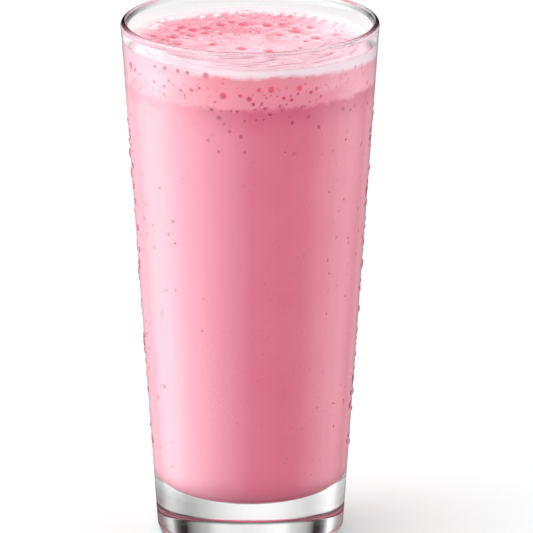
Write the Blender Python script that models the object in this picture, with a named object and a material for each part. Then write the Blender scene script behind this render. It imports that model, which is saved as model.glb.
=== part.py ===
# Rose milk with a froth head in a tall tapered tumbler with a heavy foot.
#
# Metres, +Z up. The origin is the centre of the foot, on the surface that the
# glass stands on. The viewer stands at -Y.
#
# Three pieces: the tumbler, the milk in it, and the layer of froth on the milk.

import math

import bmesh
import bpy
from mathutils import Vector

# Tumbler, outside
HEIGHT = 0.166
RIM_RADIUS = 0.0405  # of the straight outer wall, carried up to the top
FOOT_RADIUS = 0.0293  # of the same wall, carried down to the table
HEEL_RADIUS = 0.004
LIP_RISE = 0.0009  # height of the rounded lip; its width is the wall's
BEARING_RADIUS = 0.0225  # inner edge of the flat ring it stands on
RECESS_DEPTH = 0.0012  # hollow under the foot, with a round edge
RECESS_CROWN = 0.0004  # the hollow is this much deeper in the middle

# Tumbler, inside: a bowl-shaped bottom over a thick foot
RIM_WALL = 0.0024
FOOT_WALL = 0.0030
FLOOR_HEIGHT = 0.0138
FLOOR_FILLET = 0.016

# Contents
GAP = 0.0003  # between neighbouring pieces
FILL_HEIGHT = 0.1595  # level of the froth
FROTH_DEPTH = 0.0130
SEAM_WAVE = 0.0009  # unevenness of the border between froth and milk
CLIMB = 0.0006  # how far the froth climbs the wall
SWELL = 0.0003  # slow rise and fall of the froth's surface

SEGMENTS = 72
ARC_STEPS = 6

# Large burst bubbles on the froth: angle from +X in degrees, distance from the
# axis and diameter in millimetres. The viewer's side of the froth is smooth.
TOP_BUBBLES = (
    (169, 24.6, 3.1), (149, 16.1, 2.2), (145, 21.5, 2.8), (133, 19.6, 2.6),
    (116, 20.6, 2.4), (104, 22.6, 2.2), (96, 19.4, 2.4), (73, 19.4, 2.6),
    (34, 11.6, 2.2), (39, 18.4, 3.4), (15, 28.0, 1.9), (9, 21.0, 2.7),
    (-3, 17.5, 1.9), (-64, 13.8, 2.6), (-105, 9.5, 2.9), (-157, 12.3, 2.2),
    (-171, 22.4, 2.8),
)
# Bubbles against the wall at the viewer's side: angle from -Y in degrees, positive
# towards +X, depth under the level and diameter in millimetres.
WALL_BUBBLES = (
    (-43.8, 7.0, 1.4), (-28.1, 6.5, 1.6), (-20.6, 1.9, 2.3), (-12.4, 7.4, 2.5),
    (-0.3, 8.2, 1.8), (4.2, 5.3, 1.6), (10.0, 5.4, 2.3), (23.5, 5.5, 2.1),
)
# More of them round the rest of the wall, at depths that rise and fall.
RING_START, RING_END, RING_STEP = 50, 310, 18
RING_DEPTH, RING_WAVE = 6.0, 1.6
RING_DIAMETER = 2.0
# Domed bubbles in a row where the froth meets the far wall.
DOME_START, DOME_STEP, DOME_COUNT = 88, 6.5, 7
DOME_INSET = 0.0022
DOME_RADIUS = 0.0013

WALL_SLOPE = (RIM_RADIUS - FOOT_RADIUS) / HEIGHT
INNER_SLOPE = WALL_SLOPE - (RIM_WALL - FOOT_WALL) / HEIGHT


def outer_radius(z):
    return FOOT_RADIUS + WALL_SLOPE * z


def inner_radius(z):
    return FOOT_RADIUS - FOOT_WALL + INNER_SLOPE * z


def arc(centre, radius, start, end, steps=ARC_STEPS, rise=None):
    """Points (r, z) on an arc, with angles in degrees from the +r direction. With a
    rise it is part of an ellipse of that half height."""
    rise = radius if rise is None else rise
    angles = (math.radians(start + (end - start) * i / steps) for i in range(steps + 1))
    return [(centre[0] + radius * math.cos(a), centre[1] + rise * math.sin(a)) for a in angles]


def corner_centre(wall_radius, slope, z_floor, radius):
    """Centre of the arc that touches a level floor and a leaning wall from inside."""
    z = z_floor + radius
    return wall_radius(z) - radius * math.hypot(1, slope), z


def tumbler_profile():
    lean = math.degrees(math.atan(WALL_SLOPE))
    inner_lean = math.degrees(math.atan(INNER_SLOPE))
    heel = corner_centre(outer_radius, WALL_SLOPE, 0.0, HEEL_RADIUS)
    bowl = corner_centre(inner_radius, INNER_SLOPE, FLOOR_HEIGHT, FLOOR_FILLET)
    lip = (RIM_RADIUS - RIM_WALL / 2, HEIGHT - LIP_RISE)
    underside = [
        (0.0, RECESS_DEPTH + RECESS_CROWN),
        (BEARING_RADIUS / 2, RECESS_DEPTH + RECESS_CROWN * 0.75),
    ]
    underside += arc((BEARING_RADIUS - RECESS_DEPTH, 0.0), RECESS_DEPTH, 90, 0, 3)
    return (
        underside
        + arc(heel, HEEL_RADIUS, -90, -lean)
        + arc(lip, RIM_WALL / 2, 0, 180, 2 * ARC_STEPS, LIP_RISE)
        + arc(bowl, FLOOR_FILLET, -inner_lean, -90, 2 * ARC_STEPS)
        + [(0.0, FLOOR_HEIGHT)]
    )


def seam_height(x, y):
    """Height of the border between milk and froth, wavy round the wall."""
    turn = math.atan2(y, x)
    share = math.hypot(x, y) / inner_radius(FILL_HEIGHT)
    wave = 0.6 * math.sin(3 * turn + 0.8) + 0.4 * math.sin(5 * turn + 2.1)
    return FILL_HEIGHT - FROTH_DEPTH + SEAM_WAVE * share * wave


def froth_height(x, y):
    """Height of the froth's surface: a slow swirl, and a rise where it meets the wall."""
    turn = math.atan2(y, x)
    distance = math.hypot(x, y)
    share = distance / inner_radius(FILL_HEIGHT)
    swirl = math.sin(2 * turn + distance / 0.006) * share * (1 - share)
    return FILL_HEIGHT + 2 * SWELL * swirl + CLIMB * share**14


def milk_profile():
    bowl = corner_centre(inner_radius, INNER_SLOPE, FLOOR_HEIGHT, FLOOR_FILLET)
    lean = math.degrees(math.atan(INNER_SLOPE))
    top = FILL_HEIGHT - FROTH_DEPTH
    wall = inner_radius(top) - GAP
    return (
        [(0.0, FLOOR_HEIGHT + GAP)]
        + arc(bowl, FLOOR_FILLET - GAP, -90, -lean, 2 * ARC_STEPS)
        + [(wall, top), (wall * 0.6, top), (0.0, top)]
    )


def froth_profile():
    low, high = FILL_HEIGHT - FROTH_DEPTH, FILL_HEIGHT
    low_wall, high_wall = inner_radius(low) - GAP, inner_radius(high + CLIMB) - GAP
    shares = (1.0, 0.97, 0.93, 0.86, 0.75, 0.6, 0.45, 0.3, 0.15)
    return (
        [(0.0, low), (low_wall * 0.6, low), (low_wall, low)]
        + [(high_wall * share, high) for share in shares]
        + [(0.0, high)]
    )


def material(name, colour, roughness, transmission=0.0):
    made = bpy.data.materials.new(name)
    made.use_nodes = True
    shader = made.node_tree.nodes["Principled BSDF"]
    shader.inputs["Base Color"].default_value = (*colour, 1.0)
    shader.inputs["Roughness"].default_value = roughness
    shader.inputs["Metallic"].default_value = 0.0
    shader.inputs["Transmission Weight"].default_value = transmission
    shader.inputs["IOR"].default_value = 1.5
    made.diffuse_color = (*colour, 1.0)
    return made


def turned(name, profile, finish):
    """A solid turned round Z from a profile of (r, z) points that runs from the axis
    to the axis, with its outside on the right of its direction."""
    mesh = bmesh.new()
    points = [mesh.verts.new((r, 0.0, z)) for r, z in profile]
    edges = [mesh.edges.new(pair) for pair in zip(points, points[1:])]
    bmesh.ops.spin(
        mesh, geom=points + edges, cent=(0, 0, 0), axis=(0, 0, 1),
        angle=2 * math.pi, steps=SEGMENTS, use_merge=True,
    )
    bmesh.ops.remove_doubles(mesh, verts=mesh.verts, dist=1e-6)
    bmesh.ops.recalc_face_normals(mesh, faces=mesh.faces)
    return placed(name, mesh, finish)


def placed(name, mesh, finish):
    data = bpy.data.meshes.new(name)
    mesh.to_mesh(data)
    mesh.free()
    data.materials.append(finish)
    made = bpy.data.objects.new(name, data)
    bpy.context.scene.collection.objects.link(made)
    data.shade_smooth()
    data.set_sharp_from_angle(angle=math.radians(40))
    return made


def spheres(name, places, finish):
    """One helper mesh of many balls, each given by its centre and radius."""
    mesh = bmesh.new()
    for centre, radius in places:
        made = bmesh.ops.create_icosphere(mesh, subdivisions=2, radius=radius)
        bmesh.ops.translate(mesh, verts=made["verts"], vec=centre)
    helper = placed(name, mesh, finish)
    helper.hide_render = True
    helper.display_type = "WIRE"
    return helper


def top_pits():
    """Burst bubbles: each ball sits with its centre a little above the froth."""
    for angle, distance, diameter in TOP_BUBBLES:
        turn = math.radians(angle)
        x, y = distance / 1000 * math.cos(turn), distance / 1000 * math.sin(turn)
        radius = diameter / 2000
        yield Vector((x, y, froth_height(x, y) + 0.3 * radius)), radius


def wall_pits():
    """Bubbles flattened against the glass: each ball's centre is just inside."""
    ring = [
        (angle, RING_DEPTH + RING_WAVE * math.sin(angle), RING_DIAMETER)
        for angle in range(RING_START, RING_END + 1, RING_STEP)
    ]
    for angle, depth, diameter in list(WALL_BUBBLES) + ring:
        turn = math.radians(angle)
        z = FILL_HEIGHT - depth / 1000
        radius = diameter / 2000
        reach = inner_radius(z) - GAP - 0.25 * radius
        yield Vector((reach * math.sin(turn), -reach * math.cos(turn), z)), radius


def domes():
    ring = inner_radius(FILL_HEIGHT) - DOME_INSET
    for i in range(DOME_COUNT):
        turn = math.radians(DOME_START + DOME_STEP * i)
        x, y = ring * math.cos(turn), ring * math.sin(turn)
        radius = DOME_RADIUS * (1 - 0.12 * (i % 3))
        yield Vector((x, y, froth_height(x, y) + 0.15 * radius)), radius


def combine(target, helper, operation):
    step = target.modifiers.new(helper.name, "BOOLEAN")
    step.object = helper
    step.operation = operation
    step.solver = "EXACT"


def main():
    for old in list(bpy.data.objects):
        bpy.data.objects.remove(old, do_unlink=True)
    clear_glass = material("clear_glass", (0.96, 0.97, 0.97), 0.0, 1.0)
    rose_milk = material("rose_milk", (0.88, 0.40, 0.50), 0.25)
    pale_froth = material("pale_froth", (0.97, 0.66, 0.73), 0.55)

    turned("glass", tumbler_profile(), clear_glass)

    milk = turned("milk", milk_profile(), rose_milk)
    for point in milk.data.vertices:
        if point.co.z > FILL_HEIGHT - FROTH_DEPTH - GAP:
            point.co.z = seam_height(point.co.x, point.co.y) - GAP

    froth = turned("froth", froth_profile(), pale_froth)
    middle = FILL_HEIGHT - FROTH_DEPTH / 2
    for point in froth.data.vertices:
        surface = froth_height if point.co.z > middle else seam_height
        point.co.z = surface(point.co.x, point.co.y)
    combine(froth, spheres("froth_domes", domes(), pale_froth), "UNION")
    combine(froth, spheres("top_pits", top_pits(), pale_froth), "DIFFERENCE")
    combine(froth, spheres("wall_pits", wall_pits(), pale_froth), "DIFFERENCE")


main()
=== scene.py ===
import math

import bpy
import numpy as np
from mathutils import Matrix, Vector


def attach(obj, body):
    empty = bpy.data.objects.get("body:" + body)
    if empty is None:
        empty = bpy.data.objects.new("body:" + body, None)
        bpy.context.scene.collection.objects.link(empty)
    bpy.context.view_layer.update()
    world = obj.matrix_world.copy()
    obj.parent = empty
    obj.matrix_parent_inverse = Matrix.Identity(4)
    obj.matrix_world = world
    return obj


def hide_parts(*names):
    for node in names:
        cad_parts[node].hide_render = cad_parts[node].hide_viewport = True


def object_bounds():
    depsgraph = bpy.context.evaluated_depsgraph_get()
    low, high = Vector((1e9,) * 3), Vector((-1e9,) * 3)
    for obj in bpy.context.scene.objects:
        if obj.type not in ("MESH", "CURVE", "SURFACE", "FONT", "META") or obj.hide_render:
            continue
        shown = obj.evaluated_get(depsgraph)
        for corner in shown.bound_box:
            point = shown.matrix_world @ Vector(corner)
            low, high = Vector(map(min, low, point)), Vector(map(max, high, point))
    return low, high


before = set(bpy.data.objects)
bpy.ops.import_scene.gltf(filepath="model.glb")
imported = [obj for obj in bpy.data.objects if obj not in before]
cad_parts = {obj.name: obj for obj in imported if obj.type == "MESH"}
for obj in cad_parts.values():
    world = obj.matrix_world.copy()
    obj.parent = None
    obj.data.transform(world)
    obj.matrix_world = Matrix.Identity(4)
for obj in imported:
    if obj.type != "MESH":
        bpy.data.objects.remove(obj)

cadLow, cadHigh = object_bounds()
scene = bpy.context.scene
mm = 0.001
print("frame loaded:", ", ".join(sorted(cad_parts)))

# One dictionary for each piece. Lengths are in metres, angles in degrees.
tumbler = {
    "height": cadHigh.z, "rimRadius": cadHigh.x, "footRadius": 29.3 * mm, "heel": 2.6 * mm,
    "rimWall": 2.4 * mm, "footWall": 3.0 * mm, "lipRise": 1.8 * mm,
    "floor": 13.8 * mm, "bowl": 18.5 * mm,
    "standRadius": 22.5 * mm, "hollow": 0.85 * mm, "crown": 0.4 * mm,
    "turns": 288, "lipSteps": 60, "belowLip": 0.3 * mm, "overHeel": 2 * mm, "overBowl": 1 * mm,
    # rows of the wall: close together as far up as the dark line over the foot, then wider apart
    "closeTop": 14 * mm, "wideFrom": 18 * mm, "closeRows": 48, "wideRows": 40,
}


def outerRadius(z):
    # straight wall from the foot's radius to the rim's
    return tumbler["footRadius"] + (tumbler["rimRadius"] - tumbler["footRadius"]) * z / tumbler["height"]


def innerRadius(z):
    # the outer wall less a thickness that shrinks evenly from foot to rim
    share = z / tumbler["height"]
    return outerRadius(z) - tumbler["footWall"] - (tumbler["rimWall"] - tumbler["footWall"]) * share


def leanOf(radius):
    # angle between the wall and the upright, in radians
    return math.atan(radius(1.0) - radius(0.0))


def arc(centre, radius, start, end, steps, rise=None):
    # points (r, z) at even angles from the +r direction, on an ellipse when a rise is given
    turn = np.radians(np.linspace(start, end, steps + 1))
    rise = radius if rise is None else rise
    return np.column_stack([centre[0] + radius * np.cos(turn), centre[1] + rise * np.sin(turn)])


def cornerCentre(wall, lowest, radius):
    # centre of the arc that touches both a level floor and the leaning wall
    z = lowest + radius
    return wall(z) - radius / math.cos(leanOf(wall)), z


def ringFaces(rows, steps):
    # Faces over a grid of points whose rows close on themselves: quads that join each row to the
    # next, and fans from the first and last rows to the two points that follow the grid.
    here = np.arange(rows * steps).reshape(rows, steps)
    right = np.roll(here, -1, axis=1)
    pole = np.full(steps, here.size)
    return np.stack([here[:-1], right[:-1], right[1:], here[1:]], -1).reshape(-1, 4), np.concatenate([
        np.column_stack([right[0], here[0], pole]), np.column_stack([here[-1], right[-1], pole + 1]),
    ])


def wrappedMesh(name, rings, poles):
    # closed surface from loops round the axis: rings[row, step] is a point
    points = np.concatenate([rings.reshape(-1, 3), np.asarray(poles, float)])
    quads, fans = ringFaces(*rings.shape[:2])
    triangles = np.concatenate([quads[:, [0, 1, 2]], quads[:, [0, 2, 3]], fans])
    corners = points[triangles]
    volume = np.einsum("ij,ij->", corners[:, 0], np.cross(corners[:, 1], corners[:, 2]))
    if volume < 0:
        quads, fans = quads[:, ::-1], fans[:, ::-1]
    return meshFrom(name, points, [quads, fans])


def meshFrom(name, points, faceSets):
    # one mesh from whole arrays: every face set holds faces of one size
    loops = np.concatenate([faces.ravel() for faces in faceSets]).astype(np.int32)
    sizes = np.concatenate([np.full(len(faces), faces.shape[1]) for faces in faceSets])
    starts = np.concatenate([[0], np.cumsum(sizes)[:-1]]).astype(np.int32)
    mesh = bpy.data.meshes.new(name)
    mesh.vertices.add(len(points))
    mesh.vertices.foreach_set("co", points.astype(np.float32).ravel())
    mesh.loops.add(len(loops))
    mesh.loops.foreach_set("vertex_index", loops)
    mesh.polygons.add(len(sizes))
    mesh.polygons.foreach_set("loop_start", starts)
    mesh.update(calc_edges=True)
    mesh.validate()
    mesh.shade_smooth()
    piece = bpy.data.objects.new(name, mesh)
    scene.collection.objects.link(piece)
    return piece


def turned(name, profile, turns):
    # a profile of (r, z) points from axis to axis, carried once round Z
    turn = np.linspace(0, 2 * np.pi, turns, endpoint=False)
    ring = profile[1:-1]
    rings = np.stack([
        ring[:, :1] * np.cos(turn), ring[:, :1] * np.sin(turn), np.repeat(ring[:, 1:], turns, axis=1),
    ], -1)
    return wrappedMesh(name, rings, [(0, 0, profile[0, 1]), (0, 0, profile[-1, 1])])


def addAttribute(piece, name, values):
    made = piece.data.attributes.new(name, "FLOAT", "POINT")
    made.data.foreach_set("value", np.asarray(values, np.float32).ravel())


def smoothStep(low, high, value):
    # 0 at low, 1 at high, level beyond them: 3 t squared minus 2 t cubed
    t = np.clip((value - low) / (high - low), 0, 1)
    return t * t * (3 - 2 * t)


# Shader helpers
class Wire:
    # a node's output, on which + - * and / add Math nodes
    def __init__(self, kit, socket):
        self.kit, self.socket = kit, socket

    def __add__(self, other):
        return self.kit.math("ADD", self, other)

    def __sub__(self, other):
        return self.kit.math("SUBTRACT", self, other)

    def __rsub__(self, other):
        return self.kit.math("SUBTRACT", other, self)

    def __mul__(self, other):
        return self.kit.math("MULTIPLY", self, other)

    def __truediv__(self, other):
        return self.kit.math("DIVIDE", self, other)

    def __rtruediv__(self, other):
        return self.kit.math("DIVIDE", other, self)

    __radd__ = __add__
    __rmul__ = __mul__


class NodeKit:
    def __init__(self, tree):
        self.tree = tree

    def add(self, kind, settings, *inputs, output=0, **named):
        node = self.tree.nodes.new(kind)
        for key, value in settings.items():
            if key == "stops":
                self.setStops(node.color_ramp, value)
            else:
                setattr(node, key, value)
        for key, value in [*enumerate(inputs), *named.items()]:
            if value is None:
                continue
            socket = node.inputs[key if isinstance(key, int) else key.replace("_", " ")]
            if isinstance(value, Wire):
                self.tree.links.new(value.socket, socket)
            else:
                socket.default_value = value
        return Wire(self, node.outputs[output]) if node.outputs else node

    def setStops(self, ramp, stops):
        while len(ramp.elements) < len(stops):
            ramp.elements.new(0.5)
        for element, (place, colour) in zip(ramp.elements, stops):
            element.position = place
            element.color = (*colour, 1) if len(colour) == 3 else colour

    def math(self, operation, *values):
        return self.add("ShaderNodeMath", {"operation": operation}, *values)

    def vector(self, operation, *values, output="Value", **named):
        return self.add("ShaderNodeVectorMath", {"operation": operation}, *values, output=output, **named)

    def objectPoint(self):
        return self.add("ShaderNodeTexCoord", {}, output="Object")

    def axes(self, vector):
        # the x, y and z of a vector
        node = self.add("ShaderNodeSeparateXYZ", {}, vector).socket.node
        return [Wire(self, socket) for socket in node.outputs]

    def scattered(self, scale):
        # distance to the nearest of the points that are scattered one to a cell, in cells
        return self.add("ShaderNodeTexVoronoi", {"feature": "F1"}, self.objectPoint(), None, scale)

    def noise(self, scale, detail=2.0, roughness=0.5):
        # scale is in cells per metre
        return self.add("ShaderNodeTexNoise", {}, self.objectPoint(), Scale=scale, Detail=detail,
                        Roughness=roughness)

    def attribute(self, name):
        return self.add("ShaderNodeAttribute", {"attribute_name": name}, output="Fac")

    def mix(self, share, first, second):
        # the two colours are the node's inputs 6 and 7
        return self.add("ShaderNodeMix", {"data_type": "RGBA"}, share, *[None] * 5, first, second, output=2)

    def spread(self, value, low, high, first, last):
        # first at low, last at high, linear between
        return self.add("ShaderNodeMapRange", {}, value, low, high, first, last)

    def between(self, value, low, high):
        # 0 at low, 1 at high, smooth between
        return self.add("ShaderNodeMapRange", {"interpolation_type": "SMOOTHSTEP"}, value, low, high, 0.0, 1.0)


def newMaterial(name, fixed, build):
    # fixed holds the sockets that are the same all over; build gives the rest as links
    made = bpy.data.materials.new(name)
    made.use_nodes = True
    shader = made.node_tree.nodes["Principled BSDF"]
    kit = NodeKit(made.node_tree)
    for key, value in fixed.items():
        shader.inputs[key].default_value = value
    for key, wire in build(kit).items():
        made.node_tree.links.new(wire.socket, shader.inputs[key])
    return made


def plainMaterial(name, roughness, scale, first, second):
    # matt, of two colours that are nearly the same, in patches a metre
    return newMaterial(name, {"Roughness": roughness, "Specular IOR Level": 0.0}, lambda kit: {
        "Base Color": kit.mix(kit.noise(scale), first, second),
    })


# Tumbler
glassFinish = {
    "IOR": 1.5, "tint": (0.99, 0.988, 0.988, 1), "lipShadeTint": (0.16, 0.28, 0.25, 1),
    "lipShade": (0.001, 0.001, 0.001, 1),
    # a faint mist outside between two heights: patches a metre, the noise that shows, its roughness
    "mistLow": 22 * mm, "mistHigh": 142 * mm, "mistPatches": 900.0, "mistNoise": (0.4, 0.7),
    "mistRoughness": 0.035,
    # slow waves everywhere and finer ones outside, both in waves a metre
    "slowWaves": 60.0, "fineWaves": 220.0, "fineShare": 0.25,
    "rippleStrength": 0.05, "rippleDepth": 0.4 * mm,
    # how uneven the dark rings are: patches a metre, the noise that shows, lightest and darkest
    "ringPatches": 260.0, "ringNoise": (0.3, 0.65), "ringShares": (0.86, 1.0),
    # Narrow rings of painted shade on the lip that stand in for dark reflections, in degrees over the lip from
    # its outer side: start, full, full, end, then how dark they are at the sides, front and back.
    "outerRing": (30, 50, 84, 98), "outerDepth": (1.0, 0.0, 0.15),
    "innerRing": (118, 130, 176, 182), "innerDepth": (1.0, 0.18, 0.1),
    # The tint in between, painted shade with the green of thick glass, given the same way.
    "lipBand": (28, 48, 150, 178), "bandDepth": (1.0, 0.0, 0.06),
    "backBand": (66, 78, 90, 104), "backDepth": (0.8, 0.0, 0.45),
    # Where the back begins, as the sine of the angle round, and how fast a ring fades off the sides.
    "behind": (-0.1, 0.3), "sideways": 10,
    # A painted dark line on the wall where the edge of the foot shows dark through the glass, alike all round
    # from four
    # sides: degrees from front or back, its lower edge, where it turns strong, its upper edge in mm, how dark.
    "footShadeTint": (0.09, 0.15, 0.13, 1), "footSoft": 0.2 * mm, "footShares": (0.6, 0.4),
    "footLine": [
        (0, 10.2, 10.4, 11.1, 1.0), (20, 9.8, 10.1, 11.0, 1.0), (33, 9.2, 9.8, 10.9, 0.95),
        (42, 8.8, 9.6, 10.7, 1.0), (50, 8.4, 9.3, 10.5, 0.95), (60, 8.0, 8.9, 10.2, 1.0),
        (70, 7.5, 8.6, 9.9, 1.0), (90, 6.8, 8.0, 9.3, 1.0),
    ],
}


def tumblerProfile():
    # Underside from its centre, heel, wall, lip, then down the inside to the middle of the bowl.
    # The second array is the angle over the lip, or -1 away from it.
    heelLean = math.degrees(leanOf(outerRadius))
    bowlLean = math.degrees(leanOf(innerRadius))
    heel = cornerCentre(outerRadius, 0.0, tumbler["heel"])
    bowl = cornerCentre(innerRadius, tumbler["floor"], tumbler["bowl"])
    halfWall = tumbler["rimWall"] / 2
    lip = (tumbler["rimRadius"] - halfWall, tumbler["height"] - tumbler["lipRise"])
    edge = (tumbler["standRadius"] - tumbler["hollow"], 0.0)
    share = np.linspace(0, 1, 9)[:, None]
    crown = tumbler["hollow"] + tumbler["crown"] * (1 - share**2)
    hollow = np.column_stack([share * edge[0], crown])
    lipStart = lip[1] - tumbler["belowLip"]
    wallHeights = np.append(
        np.linspace(heel[1] + tumbler["overHeel"], tumbler["closeTop"], tumbler["closeRows"]),
        np.linspace(tumbler["wideFrom"], lipStart, tumbler["wideRows"]))
    wall = np.column_stack([outerRadius(wallHeights), wallHeights])
    downHeights = np.linspace(lipStart, bowl[1] + tumbler["overBowl"], tumbler["wideRows"])
    parts = [
        hollow,
        arc(edge, tumbler["hollow"], 90, 0, 6)[1:],
        arc(heel, tumbler["heel"], -90, -heelLean, 16),
        wall,
        arc(lip, halfWall, 0, 180, tumbler["lipSteps"], tumbler["lipRise"]),
        np.column_stack([innerRadius(downHeights), downHeights]),
        arc(bowl, tumbler["bowl"], -bowlLean, -90, 40),
        [(0.0, tumbler["floor"])],
    ]
    over = [np.full(len(part), -1.0) for part in parts]
    over[4] = np.linspace(0, 180, tumbler["lipSteps"] + 1)
    return np.concatenate(parts), np.concatenate(over)


def lipShade(over, turn, *rings):
    # each ring is a level band of painted shade over the lip with soft ends, deepest where the rim turns
    # sideways
    behind = smoothStep(*glassFinish["behind"], np.sin(turn))
    sideways = np.abs(np.cos(turn)) ** glassFinish["sideways"]
    shade = 0
    for ring, depth in rings:
        start, full, last, end = glassFinish[ring]
        band = smoothStep(start, full, over) * (1 - smoothStep(last, end, over))
        side, front, back = glassFinish[depth]
        around = front + (back - front) * behind
        shade = np.maximum(shade, band * (around + (side - around) * sideways))
    return shade


def footShade(height, turn):
    # the painted dark line: a level band with soft edges, its height and depth read off the list by the angle
    fromFront = np.degrees(np.arcsin(np.abs(np.cos(turn))))
    angle, lower, middle, upper, depth = np.array(glassFinish["footLine"]).T
    lower, middle, upper = (np.interp(fromFront, angle, edge) * mm for edge in (lower, middle, upper))
    soft, (first, more) = glassFinish["footSoft"], glassFinish["footShares"]
    band = first * smoothStep(-soft, soft, height - lower) + more * smoothStep(-soft, soft, height - middle)
    return band * smoothStep(-soft, soft, upper - height) * np.interp(fromFront, angle, depth)


def glassShader(kit):
    finish, outside = glassFinish, kit.attribute("outside")
    height = kit.axes(kit.objectPoint())[2]
    low, high = finish["mistLow"], finish["mistHigh"]
    mist = kit.between(height, low, low * 1.3) * kit.between(height, high, high * 0.97)
    mist = outside * mist * kit.between(kit.noise(finish["mistPatches"]), *finish["mistNoise"])
    waves = kit.noise(finish["slowWaves"], 1.0) + outside * kit.noise(finish["fineWaves"]) * finish["fineShare"]
    ripple = kit.add("ShaderNodeBump", {}, Strength=finish["rippleStrength"], Distance=finish["rippleDepth"],
                     Height=waves)
    uneven = kit.spread(kit.noise(finish["ringPatches"]), *finish["ringNoise"], *finish["ringShares"])
    # light that passes takes the root of the colour, so the shade is squared to keep its depth
    clear = 1.0 - kit.attribute("shade") * uneven
    # painted shade: the tinted band over the lip, then the dark line over the foot
    body = kit.mix(kit.attribute("lip"), finish["tint"], finish["lipShadeTint"])
    body = kit.mix(kit.attribute("foot"), body, finish["footShadeTint"])
    return {
        "Base Color": kit.mix(clear * clear, finish["lipShade"], body),
        "Roughness": mist * finish["mistRoughness"],
        "Normal": ripple,
    }


profile, overLip = tumblerProfile()
glassPiece = turned("glass_tumbler", profile, tumbler["turns"])
ringRadius, ringHeight, ringOver = (
    np.repeat(values[1:-1], tumbler["turns"]) for values in (*profile.T, overLip))
ringTurn = np.tile(np.linspace(0, 2 * np.pi, tumbler["turns"], endpoint=False), len(profile) - 2)
onOutside = ringRadius > outerRadius(ringHeight) - 0.5 * mm
for name, values in {
        "outside": onOutside,
        "shade": lipShade(ringOver, ringTurn, ("outerRing", "outerDepth"), ("innerRing", "innerDepth")),
        "foot": footShade(ringHeight, ringTurn) * onOutside,
        "lip": lipShade(ringOver, ringTurn, ("lipBand", "bandDepth"), ("backBand", "backDepth")),
}.items():
    addAttribute(glassPiece, name, np.append(values, [0, 0]))
glassPiece.data.materials.append(newMaterial("clearGlass", {
    "Transmission Weight": 1.0, "IOR": glassFinish["IOR"],
}, glassShader))
glassPiece.visible_diffuse = False
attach(glassPiece, "root")
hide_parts("glass")
print("glass made:", len(glassPiece.data.polygons), "faces")

# Milk: fills the bowl and the wall up to the froth, and reaches a little into the glass
milk = {
    "reach": 0.25 * mm, "seam": 146.5 * mm, "turns": 192, "wallRows": 60, "bevel": 0.04 * mm,
    "colour": (0.735, 0.172, 0.257, 1), "paler": (0.755, 0.190, 0.275, 1),
    "shaded": (0.67, 0.140, 0.225, 1), "leftward": (0.730, 0.190, 0.288, 1),
    "underside": (0.34, 0.060, 0.105, 1), "bubble": (0.34, 0.03, 0.075, 1),
    "clouds": 45.0, "cloudNoise": (0.3, 0.7),
    # painted shade: heights over its lowest point where it darkens towards the floor of the bowl, and
    # underneath
    "edgeHeight": 1.2 * mm, "edgeShare": 0.2, "underFrom": 0.35 * mm, "underTo": 0.1 * mm,
    # where it is shaded under the froth and cooler on the left, by height z and by x
    "shadedZ": (0.140, 0.149), "shadedX": (-0.026, -0.010), "waver": 150.0, "waverHeight": 6 * mm,
    "coolZ": (0.146, 0.134), "coolX": (0.004, -0.005), "coolEndX": (-0.029, -0.021),
    # scattered bubbles against the wall, dark with painted shade: cells a metre, edge in cells, patches that
    # have any
    "bubbles": 230.0, "bubbleEdge": (0.20, 0.10), "bubbleShare": 0.8,
    "bubblePatches": 95.0, "bubbleNoise": (0.40, 0.50), "bubbleZ": (0.126, 0.144),
    # single bubbles against the front of the wall, dark with painted shade: to the right of the middle, height
    # and width in mm
    "spots": [
        (-9.3, 144.5, 1.5), (-7.8, 142.6, 0.75), (-6.1, 140.2, 1.15), (-12.7, 136.9, 1.1),
        (-9.5, 133.5, 1.05), (-1.6, 133.5, 0.8), (-1.6, 143.8, 0.75), (1.9, 144.1, 0.75),
        (4.1, 144.2, 0.6), (10.6, 133.1, 0.6),
    ],
    "spotEdge": (0.65, 0.3), "spotShare": 0.72,
}


def milkProfile():
    bowlLean = math.degrees(leanOf(innerRadius))
    bowl = cornerCentre(innerRadius, tumbler["floor"], tumbler["bowl"])
    heights = np.append(
        np.linspace(bowl[1] + 2 * mm, milk["seam"] - milk["bevel"], milk["wallRows"]), milk["seam"])
    wall = np.column_stack([innerRadius(heights) + milk["reach"], heights])
    return np.concatenate([
        [(0.0, tumbler["floor"] - milk["reach"])],
        arc(bowl, tumbler["bowl"] + milk["reach"], -87, -bowlLean, 60),
        wall,
        [(wall[-1, 0] - milk["bevel"], milk["seam"]), (0.0, milk["seam"])],
    ])


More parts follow.
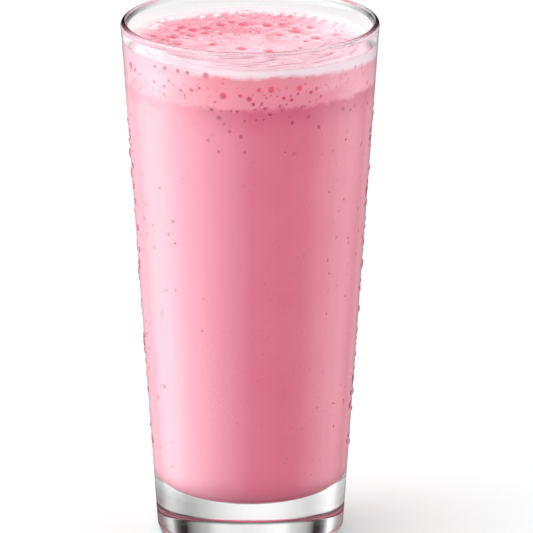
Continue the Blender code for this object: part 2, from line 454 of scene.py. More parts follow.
def milkShader(kit):
    x, z = kit.axes(kit.objectPoint())[::2]
    low = tumbler["floor"] - milk["reach"]
    # painted shade towards the floor of the bowl and under it
    near = kit.between(z, low + milk["edgeHeight"], low) * milk["edgeShare"]
    under = kit.between(z, low + milk["underFrom"], low + milk["underTo"])
    cloud = kit.between(kit.noise(milk["clouds"], 3.0), *milk["cloudNoise"])
    body = kit.mix(cloud, milk["colour"], milk["paler"])
    cool = kit.between(x, *milk["coolX"]) * kit.between(x, *milk["coolEndX"]) * kit.between(z, *milk["coolZ"])
    body = kit.mix(cool, body, milk["leftward"])
    waver = kit.noise(milk["waver"], 3.0) * milk["waverHeight"]
    shaded = kit.between(z + waver, *milk["shadedZ"]) * kit.between(x, *milk["shadedX"])
    body = kit.mix(shaded, body, milk["shaded"])
    some = kit.between(kit.noise(milk["bubblePatches"], 1.0), *milk["bubbleNoise"])
    some = some * kit.between(z, *milk["bubbleZ"]) * milk["bubbleShare"]
    some = kit.between(kit.scattered(milk["bubbles"]), *milk["bubbleEdge"]) * some
    body = kit.mix(some, body, milk["bubble"])
    outer, inner = milk["spotEdge"]
    for across, up, width in np.array(milk["spots"]) * mm:
        place = (across, -math.sqrt((innerRadius(up) + milk["reach"]) ** 2 - across**2), up)
        away = kit.vector("DISTANCE", kit.objectPoint(), place)
        spot = kit.between(away, outer * width, inner * width) * milk["spotShare"]
        body = kit.mix(spot, body, milk["bubble"])
    return {"Base Color": kit.mix(under, kit.mix(near, body, milk["underside"]), milk["underside"])}


milkPiece = turned("milk_body", milkProfile(), milk["turns"])
milkPiece.data.materials.append(newMaterial("roseMilk", {
    "Roughness": 0.08, "Specular IOR Level": 0.5, "IOR": 1.12,
}, milkShader))
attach(milkPiece, "root")
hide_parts("milk")
print("milk made")

# Froth: one surface over side and top, with pits where bubbles open against glass and air
froth = {
    "level": 159.5 * mm, "reach": 0.27 * mm, "skirt": 0.4 * mm, "climb": 0.7 * mm,
    "turns": 560, "sideRows": 56, "topRows": 112, "seed": 7, "wallRadius": 37.6,
    # large bubbles on top: degrees from +X, distance and width in mm
    "topBubbles": [
        (133, 19.6, 2.6), (116, 20.6, 2.4), (104, 22.6, 2.2), (96, 19.4, 2.4), (73, 19.4, 2.6),
        (63, 21.7, 1.4), (34, 11.6, 2.2), (39, 18.4, 3.4), (40, 24.6, 1.9), (-3, 17.5, 1.7),
        (9, 21.0, 2.7), (-105, 9.5, 2.9), (-64, 13.8, 2.6), (-157, 12.3, 2.2), (149, 16.1, 2.2),
        (145, 21.5, 2.8), (152, 25.5, 1.6), (144, 26.3, 2.2), (157, 22.9, 1.6), (169, 24.6, 3.1),
        (162, 19.1, 2.5), (-171, 22.4, 2.8), (173, 19.8, 1.4), (177, 27.0, 1.3), (170, 30.5, 1.6),
        (15, 28.0, 1.9),
    ],
    # bubbles against the wall: degrees from the front, depth under the surface and width in mm
    "wallBubbles": [
        (-12.4, 7.4, 2.5), (-4.3, 7.2, 1.4), (-0.3, 8.2, 1.8), (4.2, 5.3, 1.6), (10.0, 5.4, 2.3),
        (23.5, 5.5, 2.1), (29.6, 7.3, 1.4), (35.0, 9.2, 1.1), (16.0, 8.3, 1.3), (19.8, 9.1, 1.3),
        (-28.1, 6.5, 1.6), (-33.9, 7.1, 1.3), (-24.1, 5.6, 1.1), (-50.4, 6.3, 1.3),
        (-43.8, 7.0, 1.3), (-18.2, 12.3, 1.4), (-13.5, 12.4, 0.9), (-8.9, 12.2, 0.9),
        (-6.1, 12.3, 0.9), (-16.6, 9.6, 0.9),
    ],
    "paleWallBubbles": [
        (-20.6, 1.6, 2.5), (-29.9, 1.4, 1.6), (-35.1, 1.3, 1.6), (-42.6, 1.2, 1.6), (-49.0, 1.4, 1.3),
    ],
    # many tiny ones beside them: how far out, widest, how many are kept in the smooth patch in front
    "tinyTop": 420, "tinyReach": 36.5, "tinyWidest": 1.5, "smoothY": -4, "smoothKeep": 0.22,
    "tinyWall": 420, "tinyWallWidest": 1.3, "behind": 46, "behindWidest": 2.6,
    "wallDrop": 0.35, "deepest": 0.24 * mm, "paleDepth": 0.6,
    # how steep a pit is and how soft the edge of its colour
    "wallPits": (0.2, 0.45), "palePits": (0.2, 0.6), "topPits": (0.42, 0.55), "blisterPits": (0.6, 0.6),
    "topWiden": 1.45, "blisterWiden": 1.3, "blisterRise": 1.1, "brimRise": 0.1 * mm,
    # the top's slow swell and its fine foam: height, then wavelength over two pi
    "swell": 0.35 * mm, "swellWave": 6 * mm, "foam": 0.06 * mm, "foamWaves": (0.9 * mm, 1.1 * mm),
    "ridge": 0.16 * mm, "climbPower": 14, "calmFrom": 0.955,
    # wavy ridges in front: distance from the axis and width in mm, and where round they are strong
    "ripples": [
        (21.5, 0.5, 0.3), (24.4, 0.4, 2.1), (26.6, 0.45, 3.4), (28.8, 0.45, 4.0), (30.6, 0.4, 1.2),
        (32.4, 0.4, 5.0), (34.4, 0.4, 2.7),
    ],
    # white blisters along the back, placed as the large bubbles are
    "blisters": [
        (110, 30.0, 2.2), (100, 31.5, 2.2), (119, 30.6, 1.8), (129, 33.4, 1.7), (136, 34.0, 1.8),
        (142, 34.6, 1.5), (95, 32.4, 1.6), (91, 32.2, 1.7), (74, 30.6, 2.0), (68, 31.8, 1.7),
        (60, 31.0, 2.4), (54, 32.6, 2.6), (46, 31.9, 2.2), (37, 32.6, 2.3), (31, 33.2, 1.9),
        (150, 33.6, 1.4), (84, 33.0, 1.4), (104, 34.0, 1.2),
    ],
    # colours of the top, of the side, and of the bubbles
    "pale": (0.94, 0.60, 0.69, 1), "rosy": (0.84, 0.31, 0.39, 1), "mottle": (0.72, 0.215, 0.30, 1),
    "right": (0.96, 0.66, 0.74, 1), "frontRight": (0.95, 0.53, 0.63, 1), "nearLeft": (0.84, 0.40, 0.50, 1),
    "line": (0.58, 0.22, 0.31, 1), "white": (0.99, 0.90, 0.92, 1),
    "side": (0.86, 0.265, 0.345, 1), "sideLitLeft": (0.84, 0.46, 0.55, 1), "sideLitRight": (0.94, 0.41, 0.51, 1),
    "low": (0.85, 0.27, 0.36, 1), "film": (0.97, 0.77, 0.84, 1), "filmLeft": (0.84, 0.50, 0.59, 1),
    "pit": (0.76, 0.10, 0.19, 1), "lowPit": (0.60, 0.05, 0.115, 1), "highPit": (0.78, 0.10, 0.155, 1),
    "leftPit": (0.46, 0.115, 0.20, 1), "rightPit": (0.78, 0.27, 0.37, 1), "palePit": (0.66, 0.15, 0.25, 1),
    # Where each colour sets in and is full: on the top by x, y or the distance from the axis, on the side
    # by x or by the height z. Those of noise have no unit.
    "zones": {
        "cloud": (0.35, 0.68), "cells": (0.15, 0.62), "mottle": (0.48, 0.62), "speck": (0.52, 0.66),
        "speckPatch": (0.35, 0.6),
        "rosyBack": (-0.002, 0.026), "rosyX": (0.030, 0.010), "rightX": (0.010, 0.034),
        "rightY": (-0.002, 0.012), "edge": (0.0318, 0.0385), "edgeY": (-0.012, 0.012),
        "nearX": (-0.014, -0.026), "nearY": (-0.006, -0.018),
        "filmZ": (0.1574, 0.1596), "filmRiseX": (0.012, 0.034), "filmLeftX": (-0.006, -0.026),
        "deepZ": (0.1512, 0.1490), "paleX": (-0.010, -0.028), "paleZ": (0.1495, 0.1565),
        "sideRightX": (0.017, 0.034),
        "lowZ": (0.1545, 0.1520), "lowX": (-0.020, 0.0), "lowEndX": (0.034, 0.024),
        "highPitZ": (0.1510, 0.1535), "highPitX": (-0.014, -0.006), "leftPitX": (-0.014, -0.022),
        "rightPitX": (0.018, 0.030), "deepPitZ": (0.1502, 0.1488), "deepPitX": (0.026, 0.016),
        "palePitX": (-0.012, -0.020),
    },
    # noises in patches a metre, with their detail and roughness, and the cells of the fine grain
    "noises": {
        "cloud": (110.0, 4.0, 0.6), "mottle": (170.0, 3.0, 0.6), "speck": (420.0, 3.0, 0.6),
        "speckPatch": (90.0,), "deep": (260.0, 4.0, 0.6),
    },
    "cells": 1500.0, "roughness": (0.28, 0.5), "coat": 0.6, "bumpStrength": 0.3, "bumpDepth": 0.3 * mm,
}
rng = np.random.default_rng(froth["seed"])


def pitShape(distance, soft):
    # Depth of an open bubble at a distance of 1 for its edge: a bowl with steep sides, whose brim
    # stands a little proud. The second value is how far inside the bubble a point is.
    bowl = np.sqrt(np.clip(1 - distance**2, 0, 1))
    brim = np.exp(-((distance - 1.12) / 0.16) ** 2)
    return bowl - 0.22 * brim, 1 - smoothStep(1 - soft, 1 + soft * 0.4, distance)


def stampBubbles(across, up, bubbles, period=None, steep=0.55, soft=0.3):
    # Adds the pits of all the bubbles (place, place, width) over a sheet with two coordinates. A
    # bubble reaches one and a half widths, and the sheet may close on itself after a period.
    depth, inside = np.zeros(across.shape), np.zeros(across.shape)
    for centreAcross, centreUp, width in bubbles:
        radius = width / 2
        near = np.abs(up - centreUp) < 1.5 * radius
        gap = across[near] - centreAcross
        if period is not None:
            gap = (gap + period / 2) % period - period / 2
        shape, within = pitShape(np.hypot(gap, up[near] - centreUp) / radius, soft)
        depth[near] = np.maximum(depth[near], 0) + shape * radius * steep
        inside[near] = np.maximum(inside[near], within)
    return depth, inside


def inPlace(bubbles, widen=1.0):
    # from degrees and distance to x and y
    angle, distance, width = np.array(bubbles, float).T
    turn = np.radians(angle)
    return np.column_stack([distance * np.cos(turn), distance * np.sin(turn), width * widen])


def apartFrom(bubbles, known, gap):
    # the bubbles that stay clear of all the known ones by a gap
    distance = np.hypot(bubbles[:, None, 0] - known[None, :, 0], bubbles[:, None, 1] - known[None, :, 1])
    reach = (bubbles[:, None, 2] + known[None, :, 2]) / 2 + gap
    return bubbles[(distance > reach).all(1)]


def topBubbleList():
    large = inPlace(froth["topBubbles"], froth["topWiden"])
    count = froth["tinyTop"]
    turn, reach = rng.uniform(0, 2 * np.pi, count), froth["tinyReach"] * np.sqrt(rng.uniform(0, 1, count))
    width = rng.gamma(2.2, 0.16, count) + 0.45
    # few in the smooth patch that fills the front
    x, y = reach * np.cos(turn), reach * np.sin(turn)
    keep = rng.uniform(0, 1, count) < np.where(y < froth["smoothY"], froth["smoothKeep"], 1.0)
    tiny = np.column_stack([x, y, np.minimum(width, froth["tinyWidest"])])[keep]
    tiny = apartFrom(tiny, np.concatenate([large, inPlace(froth["blisters"])]), 0.1)
    return np.concatenate([large, tiny]) * mm


def wallBubbleList():
    known = np.array(froth["wallBubbles"])
    known[:, 1] += froth["wallDrop"]
    count, more = froth["tinyWall"], froth["behind"]
    turn = rng.uniform(-180, 180, count)
    depth = 1.5 + 13 * rng.beta(2.2, 2.4, count)
    width = np.minimum(rng.gamma(2.0, 0.14, count) + 0.35, froth["tinyWallWidest"])
    # the same mix of large ones goes on round the back
    behind = np.column_stack([
        rng.uniform(60, 300, more), 3.5 + 8 * rng.uniform(0, 1, more),
        np.minimum(rng.gamma(3.0, 0.35, more) + 0.5, froth["behindWidest"]),
    ])
    known[:, 0] = np.radians(known[:, 0]) * froth["wallRadius"]
    behind[:, 0] = np.radians(behind[:, 0]) * froth["wallRadius"]
    tiny = np.column_stack([np.radians(turn) * froth["wallRadius"], depth, width])
    return np.concatenate([known, behind, apartFrom(tiny, known, 0.25)]) * mm


def frothSheet():
    turn = np.linspace(0, 2 * np.pi, froth["turns"], endpoint=False)
    # side, from the skirt below the seam up to the brim
    bottom = milk["seam"] - froth["skirt"]
    height = np.linspace(bottom, froth["level"] + froth["climb"], froth["sideRows"])
    height = np.append(bottom - 0.03 * mm, height)[:, None] + 0 * turn
    fromFront = (turn + np.pi / 2 + np.pi) % (2 * np.pi) - np.pi
    depth = froth["level"] - height
    wallRadius = froth["wallRadius"] * mm
    arcLength = fromFront * wallRadius + 0 * depth
    around = 2 * np.pi * wallRadius
    wallPit, wallInside = stampBubbles(arcLength, depth, wallBubbleList(), around, *froth["wallPits"])
    pale = np.array(froth["paleWallBubbles"]) * (math.radians(1) * wallRadius, mm, mm)
    palePit, paleInside = stampBubbles(arcLength, depth, pale, around, *froth["palePits"])
    fade = smoothStep(0, 1 * mm, froth["level"] + froth["climb"] - height)
    fade = fade * smoothStep(0, 0.6 * mm, height - height[0])
    dents = np.clip(wallPit + froth["paleDepth"] * palePit, 0, froth["deepest"]) * fade
    sideRadius = innerRadius(height) + froth["reach"] - dents
    # top, from the brim to the centre
    share = np.linspace(1, 0.004, froth["topRows"])[1:, None] + 0 * turn
    brim = sideRadius[-1].mean()
    radius = share * brim
    x, y = radius * np.cos(turn), radius * np.sin(turn)
    topPit, topInside = stampBubbles(x, y, topBubbleList(), None, *froth["topPits"])
    blisters = inPlace(froth["blisters"], froth["blisterWiden"]) * mm
    blister, whiteInside = stampBubbles(x, y, blisters, None, *froth["blisterPits"])
    # wavy rings in front: narrow ridges at a few distances from the axis, bent by slow waves
    bend = 0.9 * np.sin(3 * turn + 1.0) + 0.6 * np.sin(7 * turn + 0.4) + 0.35 * np.sin(13 * turn + 2.0)
    rings = 0
    for distance, width, phase in froth["ripples"]:
        patchy = smoothStep(-0.5, 0.7, np.sin(5 * turn + phase) + 0.6 * np.sin(11 * turn + 2 * phase))
        rings = np.maximum(rings, np.exp(-((radius / mm - distance - bend) / width) ** 2) * patchy)
    rings = rings * smoothStep(0.15, -0.35, np.sin(turn))
    swell = froth["swell"] * np.sin(2 * turn + radius / froth["swellWave"]) * share * (1 - share)
    waveX, waveY = froth["foamWaves"]
    relief = froth["foam"] * np.sin(x / waveX) * np.sin(y / waveY)
    relief = relief - np.maximum(topPit, -froth["brimRise"]) + froth["blisterRise"] * np.clip(blister, 0, None)
    calm = 1 - smoothStep(froth["calmFrom"], 1.0, share)
    climb = froth["climb"] * share ** froth["climbPower"]
    topHeight = froth["level"] + climb + swell + relief * calm - froth["ridge"] * rings
    rows = np.stack([
        np.concatenate([sideRadius * np.cos(turn), x]),
        np.concatenate([sideRadius * np.sin(turn), y]),
        np.concatenate([height, topHeight]),
    ], -1)
    zero = np.zeros_like(height)
    atBrim = smoothStep(froth["level"], froth["level"] + froth["climb"], height)
    marks = {
        "top": np.concatenate([atBrim, np.ones_like(x)]),
        "pit": np.concatenate([wallInside * fade, topInside * calm]),
        "palePit": np.concatenate([paleInside * fade, np.zeros_like(x)]),
        "ring": np.concatenate([zero, rings]),
        "white": np.concatenate([zero, whiteInside * calm]),
    }
    return rows, marks


def frothShader(kit):
    def zone(value, name):
        return kit.between(value, *froth["zones"][name])

    def noise(name):
        return kit.noise(*froth["noises"][name])

    where = kit.objectPoint()
    x, y, z = kit.axes(where)
    top, pit, palePit = kit.attribute("top"), kit.attribute("pit"), kit.attribute("palePit")
    cloud = zone(noise("cloud"), "cloud")
    cells = zone(kit.scattered(froth["cells"]), "cells")
    # rosier towards the back and left of the top, paler on the right and along the back wall
    rightColour = kit.mix(zone(y, "rightY"), froth["frontRight"], froth["right"])
    upper = kit.mix(zone(x + cloud * 0.01, "rightX"), froth["pale"], rightColour)
    rosyColour = kit.mix(zone(noise("mottle"), "mottle") * 0.7, froth["rosy"], froth["mottle"])
    rosyShare = zone(y - x * 0.35 + cloud * 0.016, "rosyBack") * zone(x, "rosyX")
    upper = kit.mix(rosyShare, upper, rosyColour)
    fromAxis = kit.vector("LENGTH", kit.vector("MULTIPLY", where, (1, 1, 0), output="Vector"))
    edgeShare = zone(fromAxis + cloud * 0.003, "edge") * zone(y, "edgeY")
    upper = kit.mix(edgeShare * 0.75, upper, froth["white"])
    upper = kit.mix(zone(x, "nearX") * zone(y, "nearY"), upper, froth["nearLeft"])
    specks = zone(noise("speck"), "speck") * zone(noise("speckPatch"), "speckPatch")
    upper = kit.mix(specks * 0.5, upper, froth["white"])
    # ridge lines, pits darkened with painted shade, and white blisters
    for share, name in ((kit.attribute("ring"), "line"), (pit, "pit"), (kit.attribute("white"), "white")):
        upper = kit.mix(share, upper, froth[name])
    # side: a pale film at the surface that is partly painted highlight, rosy froth with painted light on its
    # left and right, then the milk's colour with its painted shade under the froth
    side = kit.mix(cells * 0.12 + cloud * 0.3, froth["side"], froth["rosy"])
    paleShare = zone(z + cloud * 0.003, "paleZ") * 0.75 + 0.25
    side = kit.mix(zone(x, "paleX") * paleShare, side, froth["sideLitLeft"])
    side = kit.mix(zone(x + cloud * 0.006, "sideRightX") * 0.9, side, froth["sideLitRight"])
    lowShare = zone(z + cloud * 0.002, "lowZ") * zone(x, "lowX") * zone(x, "lowEndX")
    side = kit.mix(lowShare, side, froth["low"])
    # painted shade under the froth, as on the milk
    deepColour = kit.mix(kit.between(x, *milk["shadedX"]), milk["paler"], milk["shaded"])
    side = kit.mix(zone(z + noise("deep") * 0.005, "deepZ"), side, deepColour)
    # the film, partly painted highlight, duller on the left
    film = zone(z + cloud * 0.0012 + zone(x, "filmRiseX") * 0.0022, "filmZ")
    side = kit.mix(film, side, kit.mix(zone(x, "filmLeftX"), froth["film"], froth["filmLeft"]))
    # bubbles: painted shade in the pits, set bright in the middle and dull on the left and right, dark where
    # they sit against the milk
    pitColour = kit.mix(zone(z, "highPitZ") * zone(x, "highPitX"), froth["lowPit"], froth["highPit"])
    pitColour = kit.mix(zone(x, "leftPitX"), pitColour, froth["leftPit"])
    pitColour = kit.mix(zone(x, "rightPitX"), pitColour, froth["rightPit"])
    pitColour = kit.mix(zone(z, "deepPitZ") * zone(x, "deepPitX"), pitColour, milk["bubble"])
    side = kit.mix(pit * 0.9, side, pitColour)
    paleColour = kit.mix(zone(x, "palePitX"), froth["palePit"], froth["leftPit"])
    side = kit.mix(palePit * 0.9, side, paleColour)
    return {
        "Base Color": kit.mix(top, side, upper),
        "Roughness": kit.spread(cloud, 0.0, 1.0, *froth["roughness"]),
        "Coat Weight": top * froth["coat"],
        "Normal": kit.add("ShaderNodeBump", {}, Strength=froth["bumpStrength"], Distance=froth["bumpDepth"],
                          Height=cells * top),
    }


sheet, marks = frothSheet()
frothPiece = wrappedMesh("froth_head", sheet, [(0, 0, sheet[0, 0, 2]), (0, 0, sheet[-1, :, 2].mean())])
for name, values in marks.items():
    addAttribute(frothPiece, name, np.append(values.ravel(), [0, values[-1].mean()]))
frothPiece.data.materials.append(newMaterial("paleFroth", {
    "Specular IOR Level": 0.0, "Coat Roughness": 0.2,
}, frothShader))
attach(frothPiece, "root")
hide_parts("froth")
print("froth made:", len(frothPiece.data.polygons), "faces")

# Dew: low round drops that sit on the outside of the wall
dew = {
    "seed": 21, "low": 24 * mm, "high": 141 * mm, "count": 1100, "smallest": 0.35, "largest": 1.15,
    "gather": -0.42, "height": 0.19, "sink": 0.07 * mm, "rings": 4, "sides": 10,
    # a cap's lowest ring and highest in degrees, and how its lower and upper halves are drawn out
    "capLow": -18, "capHigh": 75, "sag": 1.12, "lift": 0.95,
    # how narrow and how flat a drop in front is beside one at the side
    "frontWidth": 0.65, "frontRise": 0.4,
    # larger beads down each side
    "beads": 48, "beadLow": 28 * mm, "beadHigh": 142 * mm, "beadWidth": 2.1, "beadRise": 0.2,
    # the beads' grey tint is painted shade at their dark edges
    "wander": 0.24, "beadShift": 0.35, "tint": (0.70, 0.81, 0.79, 1),
}


def dewDrops():
    # A drop is a cap: its rings shrink as the cosine and rise as the sine of the same angle, from
    # a little inside the wall to the pole. All caps are placed at once.
    made = np.random.default_rng(dew["seed"])
    count = dew["count"]
    # thickest towards the two sides, thin in front and behind
    turn = made.uniform(0, 2 * np.pi, count)
    turn = turn + dew["gather"] * np.sin(2 * turn)
    height = dew["low"] + (dew["high"] - dew["low"]) * made.beta(1.1, 1.0, count)
    width = np.clip(made.lognormal(-0.45, 0.42, count), dew["smallest"], dew["largest"])
    # the beads down each side, at even steps that wander a little
    beads = np.arange(2 * dew["beads"]) // 2
    spacing = (dew["beadHigh"] - dew["beadLow"]) / dew["beads"]
    facing, shift = np.pi * (np.arange(len(beads)) % 2), dew["beadShift"]
    turn = np.append(turn, facing + made.uniform(-1, 1, len(beads)) * dew["wander"])
    height = np.append(height, dew["beadLow"] + spacing * (beads + made.uniform(-shift, shift, len(beads))))
    width = np.append(width, dew["beadWidth"] * made.uniform(0.7, 1.2, len(beads))) * mm
    count, sideways = len(turn), np.abs(np.cos(turn))
    isBead = np.arange(count) >= dew["count"]
    width = width * np.where(isBead, 1.0, dew["frontWidth"] + (1 - dew["frontWidth"]) * sideways)
    squash = made.uniform(0.85, 1.15, count)
    bulge = dew["height"] * made.uniform(0.75, 1.25, count)
    bulge = np.where(isBead, dew["beadRise"], bulge * (dew["frontRise"] + (1 - dew["frontRise"]) * sideways))
    level = np.radians(np.linspace(dew["capLow"], dew["capHigh"], dew["rings"]))
    side = np.linspace(0, 2 * np.pi, dew["sides"], endpoint=False)
    flat = np.cos(level)[:, None] * np.stack([np.cos(side), np.sin(side)])[:, None, :]
    rise = np.sin(level)[:, None] + 0 * side
    # the weight of the water pulls the lower half out a little
    flat[1] = flat[1] * np.where(flat[1] < 0, dew["sag"], dew["lift"])
    lean = leanOf(outerRadius)

    def around(radial, vertical):
        # radial along the line out from the axis, vertical along Z, for every drop
        return np.stack([radial * np.cos(turn), radial * np.sin(turn), vertical + 0 * turn], -1)

    outward, upward = around(math.cos(lean), -math.sin(lean)), around(math.sin(lean), math.cos(lean))
    beside = np.stack([-np.sin(turn), np.cos(turn), np.zeros(count)], -1)
    foot = around(outerRadius(height), height)
    half = width / 2
    tall = half * bulge * 2
    # the last two points of a cap are the middle of its lowest ring and its pole
    lowest = math.sin(level[0])
    spread = [np.append(flat[0], [0, 0]), np.append(flat[1], [0, 0]), np.append(rise, [lowest, 1.0])]
    points = foot[:, None] + beside[:, None] * (spread[0] * half[:, None])[..., None] \
        + upward[:, None] * (spread[1] * (half * squash)[:, None])[..., None] \
        + outward[:, None] * (spread[2] * tall[:, None] - dew["sink"])[..., None]
    quads, fans = ringFaces(dew["rings"], dew["sides"])
    offset = (np.arange(count) * points.shape[1])[:, None, None]
    beadShare = np.repeat(isBead, points.shape[1])
    faces = [(quads + offset).reshape(-1, 4), (fans + offset).reshape(-1, 3)]
    return points.reshape(-1, 3), faces, beadShare


def dewShader(kit):
    return {
        # the beads are tinted with painted shade
        "Base Color": kit.mix(kit.attribute("bead"), (1, 1, 1, 1), dew["tint"]),
        "Roughness": kit.between(kit.noise(400.0), 0.3, 1.6) * 0.03,
    }


dewPoints, dewFaces, beadShare = dewDrops()
dewPiece = meshFrom("dew_drops", dewPoints, dewFaces)
addAttribute(dewPiece, "bead", beadShare)
dewPiece.data.materials.append(newMaterial("clearWater", {"Transmission Weight": 1.0, "IOR": 1.33}, dewShader))
dewPiece.visible_diffuse = False
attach(dewPiece, "root")
print("dew made:", len(dewPoints) // (dew["rings"] * dew["sides"] + 2), "drops")

for piece in (glassPiece, milkPiece, frothPiece, dewPiece):
    piece.visible_shadow = False

# Camera: the photograph's view, 533 pixels wide
view = {
    "elevation": 16.6, "distance": 2.5, "aimHeight": 85.8 * mm, "axisPixels": 16.2,
    "focalPixels": 7944, "photoSide": 533, "sensor": 36.0,
}
lift = math.radians(view["elevation"])
camera = bpy.data.objects.new("camera", bpy.data.cameras.new("camera"))
scene.collection.objects.link(camera)
aside = view["axisPixels"] / view["focalPixels"] * view["distance"]
camera.location = (
    aside, -view["distance"] * math.cos(lift), view["aimHeight"] + view["distance"] * math.sin(lift))
camera.rotation_euler = (math.pi / 2 - lift, 0, 0)
camera.data.sensor_width = view["sensor"]
camera.data.lens = view["sensor"] * view["focalPixels"] / view["photoSide"]
camera.data.clip_end = 50
scene.camera = camera

# Stage: a wide pale floor
stage = {
    "floorHalf": 8.0, "floorColour": (0.852, 0.890, 0.884, 1), "faintly": (0.847, 0.885, 0.879, 1),
    "shadeRadius": 28.7 * mm, "shadeAside": -0.4 * mm, "shadeBottom": 0.4 * mm, "shadeTop": 9 * mm,
    "neckRadius": 5 * mm, "neckBottom": 12 * mm, "neckTop": 16 * mm,
    "coreRadius": 21 * mm, "coreBottom": 23.5 * mm, "coreTop": 42 * mm,
    "shadeGreys": ((0.44, 0.44, 0.44, 1), (0.47, 0.47, 0.47, 1)),
}
half = stage["floorHalf"]
corners = np.array([(-half, -half, 0), (half, -half, 0), (half, half, 0), (-half, half, 0)], float)
floor = meshFrom("floor", corners, [np.array([[0, 1, 2, 3]])])
floor.data.materials.append(plainMaterial("paleFloor", 0.7, 8.0, stage["floorColour"], stage["faintly"]))
floor.visible_glossy = False
floor.visible_transmission = False

# The glass and the drink let shadow rays pass, so a disc inside the thick foot and a short core
# inside the drink above it shade the floor instead.
shadeProfile = np.array([
    (0, stage["shadeBottom"]), (stage["shadeRadius"], stage["shadeBottom"]),
    (stage["shadeRadius"], stage["shadeTop"]), (stage["neckRadius"], stage["neckBottom"]),
    (stage["neckRadius"], stage["neckTop"]), (stage["coreRadius"], stage["coreBottom"]),
    (stage["coreRadius"], stage["coreTop"]), (0, stage["coreTop"]),
])
shadeDisc = turned("foot_shade", shadeProfile, 64)
shadeDisc.data.transform(Matrix.Translation((stage["shadeAside"], 0, 0)))
shadeDisc.data.materials.append(plainMaterial("shadeGrey", 1.0, 50.0, *stage["shadeGreys"]))
shadeDisc.visible_camera = shadeDisc.visible_glossy = shadeDisc.visible_transmission = False

# Light: a studio dome. Its brightness is given by the direction round the glass, in degrees from
# straight behind it, positive to the right. Matt surfaces get it softened, mirror images show the
# strip lights on a round card, and what is seen through the glass shows pale walls with dark posts.
dome = {
    "peak": 10.0,
    "soft": [
        (-180, 0.60), (-145, 1.10), (-100, 2.6), (-50, 1.5), (0, 1.15), (80, 1.1), (120, 0.76), (180, 0.60),
    ],
    "mirrored": [
        (-180, 0.3), (-148, 3.1), (-126, 5.2), (-101, 7.2), (-87, 7.8), (-72, 6.1), (-49, 2.3), (-35, 1.5),
        (-20, 0.7), (0, 0.5), (20, 0.4), (35, 0.8), (49, 0.85), (70, 2.2), (87, 2.5), (108, 1.7), (126, 0.35),
        (143, 0.05), (180, 0.3),
    ],
    "level": [(0, 0.97), (8, 0.92), (14, 0.82), (20, 0.68), (27, 0.58), (31, 0.60), (36, 0.70), (45, 0.92),
              (52, 0.84), (57, 0.64), (64, 0.52), (75, 0.65), (90, 0.7)],
    "slanted": [(0, 0.87), (11, 0.97), (15, 0.92), (19, 0.62), (23, 0.52), (27, 0.38), (30, 0.22), (33, 0.02),
                (37, 0.03), (41, 0.16), (44, 0.5), (47, 1.0), (52, 0.9), (57, 0.5), (64, 0.3), (90, 0.6)],
    # steep lines of sight see the slanted walls: degrees up and down where they set in and are full
    "upSlant": (5.0, 14.0), "downSlant": (-14.2, -15.6), "lowSlant": 0.95,
    # the left walls are brighter than the right ones, by how far to the side a line of sight leans
    "leftWall": 1.25, "rightWall": 0.82, "asideReach": 0.5,
    # what mirror images see past the card
    "unlit": (0.004, 0.004, 0.004, 1),
    # The card, by the height of the wall that mirrors it into the camera, and how brightly it is lit:
    # it starts just above the clear foot and is dimmer beside the froth. The rows of its top, which
    # only the lip mirrors, are at their own height.
    "cardRadius": 0.6, "cardSteps": 144,
    "cardRows": [(14 * mm, 0.0), (22 * mm, 1.0), (142 * mm, 1.0), (152 * mm, 0.55), (159 * mm, 0.26)],
    "cardTop": [(0.05, 0.26), (0.34, 0.45), (0.5, 1.0), (1.1, 1.0)],
    # the first two rows of the top have a gap straight behind: degrees where it is dark and where lit
    "gapRows": 2, "gap": (18, 45),
}


def inDegrees(kit, operation, *values):
    return kit.math(operation, *values) * (180 / math.pi)


def greys(stops, low, high):
    # a ramp's stops from pairs of degrees and brightness
    return [((degrees - low) / (high - low), (brightness / dome["peak"],) * 3) for degrees, brightness in stops]


def domeRamp(kit, azimuth, stops):
    return kit.add("ShaderNodeValToRGB", {"stops": greys(stops, -180, 180)}, azimuth / 360 + 0.5)


def wallRamp(kit, azimuth, stops):
    # the same walls to the left and right, behind and in front
    folded = kit.math("PINGPONG", kit.math("ABSOLUTE", azimuth), 90.0)
    return kit.add("ShaderNodeValToRGB", {"stops": greys(stops, 0, 90)}, folded / 90)


def worldLight(kit):
    east, north, up = kit.axes(kit.add("ShaderNodeTexCoord", {}, output="Generated"))
    azimuth, elevation = inDegrees(kit, "ARCTAN2", east, north), inDegrees(kit, "ARCSINE", up)
    lightPath = kit.add("ShaderNodeLightPath", {}).socket.node
    isCamera, isGlossy, isThrough = (
        Wire(kit, lightPath.outputs[f"Is {name} Ray"]) for name in ("Camera", "Glossy", "Transmission"))
    slant = kit.between(elevation, *dome["downSlant"]) * dome["lowSlant"]
    slant = kit.between(elevation, *dome["upSlant"]) + slant
    through = kit.mix(slant, wallRamp(kit, azimuth, dome["level"]), wallRamp(kit, azimuth, dome["slanted"]))
    aside = kit.spread(east, -dome["asideReach"], dome["asideReach"], dome["leftWall"], dome["rightWall"])
    through = kit.vector("SCALE", through, output="Vector", Scale=aside)
    light = kit.mix(isGlossy, domeRamp(kit, azimuth, dome["soft"]), dome["unlit"])
    light = kit.mix(isThrough, light, through)
    return kit.mix(isCamera, light, (1 / dome["peak"],) * 3 + (1,))


world = bpy.data.worlds.new("studio")
scene.world = world
world.use_nodes = True
background = world.node_tree.nodes["Background"]
background.inputs["Strength"].default_value = dome["peak"]
world.node_tree.links.new(worldLight(NodeKit(world.node_tree)).socket, background.inputs["Color"])

# The card that mirror images show: a wide ring round the glass
cardTurn = np.linspace(-np.pi, np.pi, dome["cardSteps"], endpoint=False)


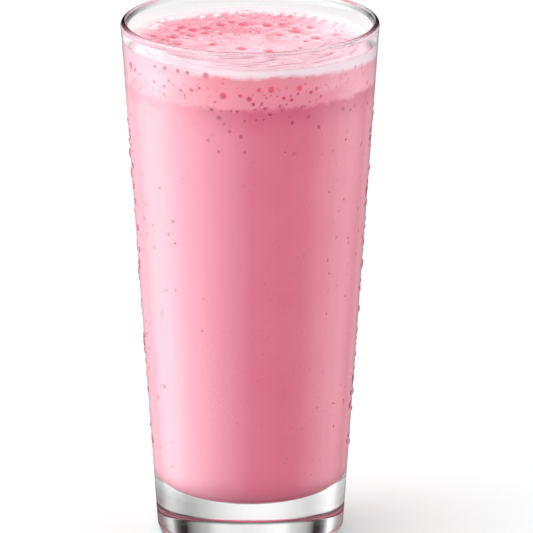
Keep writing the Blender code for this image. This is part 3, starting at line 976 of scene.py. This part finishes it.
def cardHeight(wallHeight):
    # Height on the card, all round, that the wall mirrors into the camera at a height of its own. The
    # line of sight is turned about the wall's normal n: ray = sight - 2 (sight . n) n. It runs to the
    # larger root of |start + run * ray| = card radius, both taken flat.
    wallTurn, lean = np.radians(np.arange(-89.0, 90.0)), leanOf(outerRadius)
    level, drop = math.cos(lean), 0 * wallTurn - math.sin(lean)
    normal = np.stack([np.sin(wallTurn) * level, -np.cos(wallTurn) * level, drop], -1)
    sight = np.array([0, 0, wallHeight]) - np.array([0, *camera.location[1:]])
    sight = sight / np.linalg.norm(sight)
    ray = sight - 2 * (normal @ sight)[:, None] * normal
    start = normal[:, :2] * outerRadius(wallHeight)
    flat, along = (ray[:, :2] ** 2).sum(1), (start * ray[:, :2]).sum(1)
    beyond = (start**2).sum(1) - dome["cardRadius"] ** 2
    run = (np.sqrt(along**2 - flat * beyond) - along) / flat
    hit = start + run[:, None] * ray[:, :2]
    return np.interp(cardTurn, np.arctan2(hit[:, 0], hit[:, 1]), wallHeight + run * ray[:, 2], period=2 * np.pi)


def cardShader(kit):
    x, y = kit.axes(kit.objectPoint())[:2]
    strips = domeRamp(kit, inDegrees(kit, "ARCTAN2", x, y), dome["mirrored"])
    return {"Emission Color": kit.mix(kit.attribute("lit"), (0, 0, 0, 1), strips)}


rows = np.array([cardHeight(height) for height, lit in dome["cardRows"]]
                + [height + 0 * cardTurn for height, lit in dome["cardTop"]])
ring = dome["cardRadius"] * np.stack([np.sin(cardTurn), np.cos(cardTurn)])[:, None] + 0 * rows
card = meshFrom("light_card", np.stack([*ring, rows], -1).reshape(-1, 3), ringFaces(*rows.shape)[:1])
lit = np.array([lit for height, lit in dome["cardRows"] + dome["cardTop"]])[:, None] + 0 * cardTurn
lit[len(dome["cardRows"]):][:dome["gapRows"]] *= smoothStep(*dome["gap"], np.degrees(np.abs(cardTurn)))
addAttribute(card, "lit", lit)
cardGlow = newMaterial("cardGlow", {
    "Base Color": (0, 0, 0, 1), "Specular IOR Level": 0.0, "Emission Strength": dome["peak"],
}, cardShader)
cardGlow.cycles.emission_sampling = "NONE"
card.data.materials.append(cardGlow)
card.visible_camera = card.visible_diffuse = card.visible_transmission = card.visible_shadow = False

scene.view_settings.view_transform = "Standard"
scene.cycles.use_denoising = True
scene.cycles.max_bounces = 24
scene.cycles.transmission_bounces = 24
scene.cycles.glossy_bounces = 16
print("stage, camera and light made")
